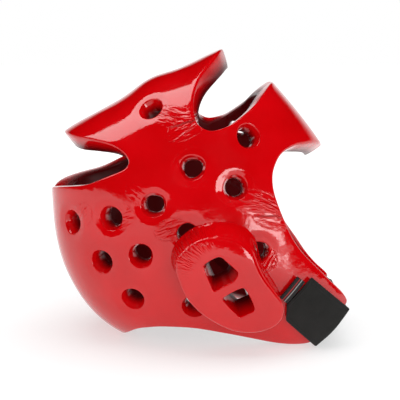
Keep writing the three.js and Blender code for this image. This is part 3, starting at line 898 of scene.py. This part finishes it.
class Nodes:
    """Short ways to add and link shader nodes."""

    def __init__(self, tree):
        self.tree = tree
        self.shader = tree.nodes.get("Principled BSDF")

    def add(self, kind, inputs=None, **settings):
        node = self.tree.nodes.new("ShaderNode" + kind)
        for key, value in settings.items():
            setattr(node, key, value)
        for key, value in (inputs or {}).items():
            self.put(value, node.inputs[key])
        return node

    def put(self, value, socket):
        if isinstance(value, bpy.types.NodeSocket):
            self.tree.links.new(value, socket)
        else:
            socket.default_value = value

    def noise(self, scale, detail=2.0, vector=None, roughness=0.5):
        inputs = {"Scale": scale, "Detail": detail, "Roughness": roughness}
        return self.add("TexNoise", {**inputs, "Vector": vector or self.object_place()}).outputs["Fac"]

    def object_place(self):
        if "place" not in self.__dict__:
            self.place = self.add("TexCoord").outputs["Object"]
        return self.place

    def ranged(self, value, low, high, to_low=0, to_high=1):
        inputs = {"Value": value, "From Min": low, "From Max": high, "To Min": to_low, "To Max": to_high}
        return self.add("MapRange", inputs).outputs["Result"]

    def cloud(self, scale, detail, *limits):
        """Noise between limits, as for ranged."""
        return self.ranged(self.noise(scale, detail), *limits)

    def maths(self, operation, a, b):
        node = self.add("Math", operation=operation)
        self.put(a, node.inputs[0])
        self.put(b, node.inputs[1])
        return node.outputs["Value"]

    def colours(self, factor, a, b):
        node = self.add("Mix", data_type="RGBA")
        self.put(factor, node.inputs["Factor"])
        self.put(a, node.inputs[6])
        self.put(b, node.inputs[7])
        return node.outputs[2]

    def bump(self, height, strength, distance, below=None):
        inputs = {"Height": height, "Strength": strength, "Distance": distance}
        if below is not None:
            inputs["Normal"] = below
        return self.add("Bump", inputs).outputs["Normal"]

    def attribute(self, name):
        """A mesh attribute and its three parts, as sockets."""
        vector = self.add("Attribute", attribute_name=name).outputs["Vector"]
        return vector, *self.add("SeparateXYZ", {"Vector": vector}).outputs

    def threads(self, place, pitch):
        """Waves of one thread's pitch in mm."""
        return self.maths("SINE", self.maths("MULTIPLY", place, 2 * math.pi / pitch), 0)


def vinyl_material():
    """Glossy dipped vinyl: slight orange peel, slow waves, thin spots, scuffs and gathered creases.
    The depth through the foam comes in as a mesh attribute, and the base colour darkens with it:
    painted shade in the cut faces, bores, slots and inner face, which are also rougher and less shiny there."""
    material, n = node_material("dipped_vinyl")
    shader = n.shader.inputs
    # Share of the depth through the foam, which drives the painted shade below
    inside = n.ranged(n.attribute("depth_for_shade")[1], 0.25, 0.8)
    cloud = n.cloud(28, 3, 0.35, 0.65)
    tint = n.colours(cloud, (0.585, 0.0006, 0.0022, 1), (0.65, 0.0010, 0.0034, 1))
    thin = n.cloud(11, 2, 0.55, 0.75, 0, 0.35)
    tint = n.colours(thin, tint, (0.52, 0.0006, 0.002, 1))
    # Painted shade: the base colour goes to a deep red towards the inside of the foam
    n.put(n.colours(inside, tint, (0.115, 0.0008, 0.0022, 1)), shader["Base Color"])
    smooth = n.cloud(46, 4, 0.3, 0.7, 0.045, 0.10)
    scuffs = n.ranged(n.noise(420, 5, roughness=0.7), 0.6, 0.72, 0, 0.10)
    dull = n.maths("MULTIPLY", inside, 0.22)
    n.put(n.maths("ADD", n.maths("ADD", smooth, scuffs), dull), shader["Roughness"])
    n.put(n.ranged(inside, 0, 1, 0.5, 0.2), shader["Specular IOR Level"])
    shader["IOR"].default_value = 1.56
    _, along, across, strength = n.attribute("gather")
    u, v = n.maths("MULTIPLY", along, 0.04), n.maths("MULTIPLY", across, 0.19)
    stretched = n.add("CombineXYZ", {"X": u, "Y": v}).outputs["Vector"]
    ridge = n.maths("ABSOLUTE", n.maths("SUBTRACT", n.noise(1, 2.5, stretched), 0.5), 0)
    ridge = n.ranged(ridge, 0, 0.11, 1, 0)
    crease = n.maths("MULTIPLY", ridge, strength)
    slow = n.bump(n.noise(52, 1.5), 0.30, 0.0012)
    peel = n.bump(n.noise(330, 2), 0.14, 0.00035, slow)
    folds = n.bump(crease, 0.8, 0.0009, peel)
    n.put(n.bump(n.noise(1500, 2), 0.06, 0.0001, folds), shader["Normal"])
    return material


def strap_material():
    """Close-woven charcoal webbing with ribs across and a little fuzz."""
    material, n = node_material("charcoal_webbing")
    shader = n.shader.inputs
    place, along, across, _ = n.attribute("weave")
    weft = n.threads(along, 0.7)
    cloth = n.maths("MULTIPLY", n.threads(across, 0.9), weft)
    fuzz = n.noise(2.2, 4, place, 0.65)
    patch = n.noise(0.09, 3, place)
    shade = n.ranged(patch, 0.3, 0.7)
    worn = n.colours(shade, (0.0068, 0.0064, 0.0056, 1), (0.0120, 0.0112, 0.0100, 1))
    thread = n.ranged(n.maths("ADD", cloth, fuzz), -0.6, 1.6, 0, 0.55)
    n.put(n.colours(thread, worn, (0.019, 0.018, 0.0165, 1)), shader["Base Color"])
    n.put(n.ranged(fuzz, 0.3, 0.7, 0.62, 0.86), shader["Roughness"])
    shader["Specular IOR Level"].default_value = 0.26
    shader["Sheen Weight"].default_value = 0.05
    shader["Sheen Roughness"].default_value = 0.5
    ribs = n.bump(n.maths("ADD", cloth, n.maths("MULTIPLY", weft, 0.5)), 0.5, 0.00016)
    soft = n.bump(patch, 0.4, 0.0012, ribs)
    n.put(n.bump(fuzz, 0.35, 0.0003, soft), shader["Normal"])
    return material


def thread_material(name, colour, pale):
    material, n = node_material(name)
    shader = n.shader.inputs
    twist = n.noise(2600, 2)
    n.put(n.colours(n.ranged(twist, 0.35, 0.65), colour, pale), shader["Base Color"])
    n.put(n.cloud(700, 2, 0.3, 0.7, 0.5, 0.75), shader["Roughness"])
    n.put(n.bump(twist, 0.5, 0.0001), shader["Normal"])
    return material


def label_material():
    """Black woven strip with one red and one pale line of thread along it."""
    material, n = node_material("woven_strip")
    shader = n.shader.inputs
    place, along, across, side = n.attribute("weave")
    fuzz = n.noise(3.0, 3, place)
    wander = n.maths("ADD", across, n.ranged(n.noise(0.35, 1, place), 0, 1, -0.12, 0.12))
    colour = n.colours(n.ranged(fuzz, 0.3, 0.7), (0.006, 0.006, 0.006, 1), (0.016, 0.015, 0.015, 1))
    dashes = n.threads(along, 1.3)
    outside = n.ranged(side, 0.4, 0.6)
    for centre, half, tone in ((3.4, 0.55, (0.50, 0.012, 0.012, 1)), (5.6, 0.42, (0.52, 0.50, 0.48, 1))):
        away = n.maths("ABSOLUTE", n.maths("SUBTRACT", wander, centre), 0)
        line = n.ranged(away, half, half * 0.55)
        line = n.maths("MULTIPLY", line, n.ranged(dashes, -1, 0.2, 0.45, 1))
        colour = n.colours(n.maths("MULTIPLY", line, outside), colour, tone)
    n.put(colour, shader["Base Color"])
    n.put(n.ranged(fuzz, 0.3, 0.7, 0.55, 0.8), shader["Roughness"])
    n.put(n.bump(n.maths("ADD", n.threads(along, 0.6), fuzz), 0.5, 0.00015), shader["Normal"])
    return material


def tape_material(name, colour, pale, shine):
    material, n = node_material(name)
    shader = n.shader.inputs
    cloud = n.noise(300, 4)
    n.put(n.colours(n.ranged(cloud, 0.35, 0.65), colour, pale), shader["Base Color"])
    n.put(n.cloud(900, 3, 0.3, 0.7, shine, shine + 0.2), shader["Roughness"])
    n.put(n.bump(n.noise(2200, 2), 0.5, 0.00015), shader["Normal"])
    return material


def metal_material():
    """Nickel plate with small pits and tarnish."""
    material, n = node_material("rivet_nickel")
    shader = n.shader.inputs
    shader["Metallic"].default_value = 1.0
    tarnish = n.cloud(180, 4, 0.45, 0.7)
    n.put(n.colours(tarnish, (0.56, 0.55, 0.53, 1), (0.34, 0.31, 0.27, 1)), shader["Base Color"])
    n.put(n.cloud(700, 4, 0.3, 0.7, 0.2, 0.42), shader["Roughness"])
    pits = n.cloud(1100, 3, 0.58, 0.66, 1, 0)
    n.put(n.bump(n.noise(2600, 2), 0.2, 0.00006, n.bump(pits, 0.3, 0.00012)), shader["Normal"])
    return material


def floor_paper():
    """White paper that glows a little, so that the shadow near the object stays light."""
    material, n = node_material("floor_paper")
    shader = n.shader.inputs
    n.put(n.colours(n.noise(3, 2), (0.45, 0.45, 0.45, 1), (0.47, 0.47, 0.47, 1)), shader["Base Color"])
    n.put(n.cloud(40, 2, 0, 1, 0.7, 0.85), shader["Roughness"])
    shader["Specular IOR Level"].default_value = 0.2
    # Painted light: the glow grows with distance from the object, so the far floor reads white and the floor
    # close round it stays darker
    away = n.add("VectorMath", {0: n.object_place()}, operation="LENGTH").outputs["Value"]
    shader["Emission Color"].default_value = (1, 1, 1, 1)
    n.put(n.ranged(away, 0.1, 0.8, 0.56, 0.95), shader["Emission Strength"])
    return material


# ---- Camera, floor and light ----

CAMERA_PLACE, CAMERA_TILT, LENS, SENSOR = (0.00257, -1.0, 0.2721), 81.7, 94.5, 36
ROOM_FILL, WALL_TOP, WALL_FADE = 0.34, 0.34, 0.16


def camera():
    data = bpy.data.cameras.new("camera")
    data.lens = LENS
    data.sensor_width = SENSOR
    made = placed("camera", data)
    made.location = CAMERA_PLACE
    made.rotation_euler = (math.radians(CAMERA_TILT), 0, 0)
    bpy.context.scene.camera = made


def floor(material):
    """Paper sheet that runs far back and ends close in front."""
    data = bpy.data.meshes.new("floor")
    x, near, far = 7.0, -0.93, 14.0
    data.from_pydata([(-x, near, 0), (x, near, 0), (x, far, 0), (-x, far, 0)], [], [(0, 1, 2, 3)])
    data.materials.append(material)
    made = placed("floor", data)


def area_light(name, at, target, width, depth, radiance, reflected):
    data = bpy.data.lights.new(name, "AREA")
    data.shape = "RECTANGLE"
    data.size, data.size_y = width, depth
    data.energy = radiance * math.pi * width * depth
    made = placed(name, data)
    made.location = at
    made.rotation_euler = (Vector(target) - Vector(at)).to_track_quat("-Z", "Y").to_euler()
    made.visible_glossy = reflected
    made.visible_diffuse = not reflected


def studio():
    """White room to the eye. Reflections see it dark but for a low white wall behind, and two
    soft boxes; the wide lights that fill the room aren't reflected."""
    floor(floor_paper())
    world = bpy.data.worlds.new("studio")
    bpy.context.scene.world = world
    world.use_nodes = True
    n = Nodes(world.node_tree)
    background = world.node_tree.nodes["Background"]
    parts = n.add("SeparateXYZ", {"Vector": n.add("TexCoord").outputs["Generated"]})
    behind = n.ranged(parts.outputs["Y"], -0.05, 0.45)
    low = n.ranged(parts.outputs["Z"], WALL_TOP, WALL_TOP - WALL_FADE)
    wall = n.maths("MULTIPLY", behind, low)
    path = n.add("LightPath").outputs
    lit = n.add("Mix", {"Factor": path["Is Glossy Ray"], "A": ROOM_FILL, "B": wall}).outputs["Result"]
    seen = n.add("Mix", {"Factor": path["Is Camera Ray"], "A": lit, "B": 1.0})
    background.inputs["Color"].default_value = (1, 1, 1, 1)
    n.put(seen.outputs["Result"], background.inputs["Strength"])
    area_light("softbox", (-0.6, -0.05, 1.16), (-0.05, 0, 0.15), 0.6, 1.0, 4.4, True)
    area_light("low_card", (0.62, -1.08, 0.02), (0.05, -0.1, 0.09), 0.44, 0.26, 8.0, True)
    area_light("overhead", (0.1, 0.0, 2.3), (0, 0, 0), 2.6, 2.6, 2.0, False)
    area_light("front", (0.35, -2.3, 1.0), (0, 0, 0.12), 1.8, 1.2, 2.9, False)
    view = bpy.context.scene.view_settings
    view.view_transform = "Standard"
    view.look = "None"


# ---- Scene ----

camera()
studio()
vinyl = vinyl_material()
webbing = strap_material()
foam_shell(vinyl)
ear_cup("cup_right", "ear_cup_right", False, vinyl)
ear_cup("cup_left", "ear_cup_left", True, vinyl)
chin_strap(webbing)
black_thread = thread_material("black_thread", (0.008, 0.008, 0.008, 1), (0.022, 0.021, 0.02, 1))
hem_stitches("flap_stitches", FLAP_REAR, FLAP_FRONT, FLAP_HEIGHT, False, "strap_flap", black_thread)
hem_stitches("fixed_stitches", FIXED_REAR, FIXED_FRONT, FIXED_HEIGHT, True, "shell", black_thread)
label_strip(label_material())
hook_patch(tape_material("hook_tape", (0.010, 0.010, 0.011, 1), (0.020, 0.020, 0.021, 1), 0.5),
           tape_material("moulded_hooks", (0.014, 0.014, 0.015, 1), (0.03, 0.03, 0.031, 1), 0.28))
nickel = metal_material()
for node in ("rivet_upper", "rivet_lower", "washer_upper", "washer_lower"):
    for material_slot in bpy.data.objects[node].material_slots:
        material_slot.material = nickel
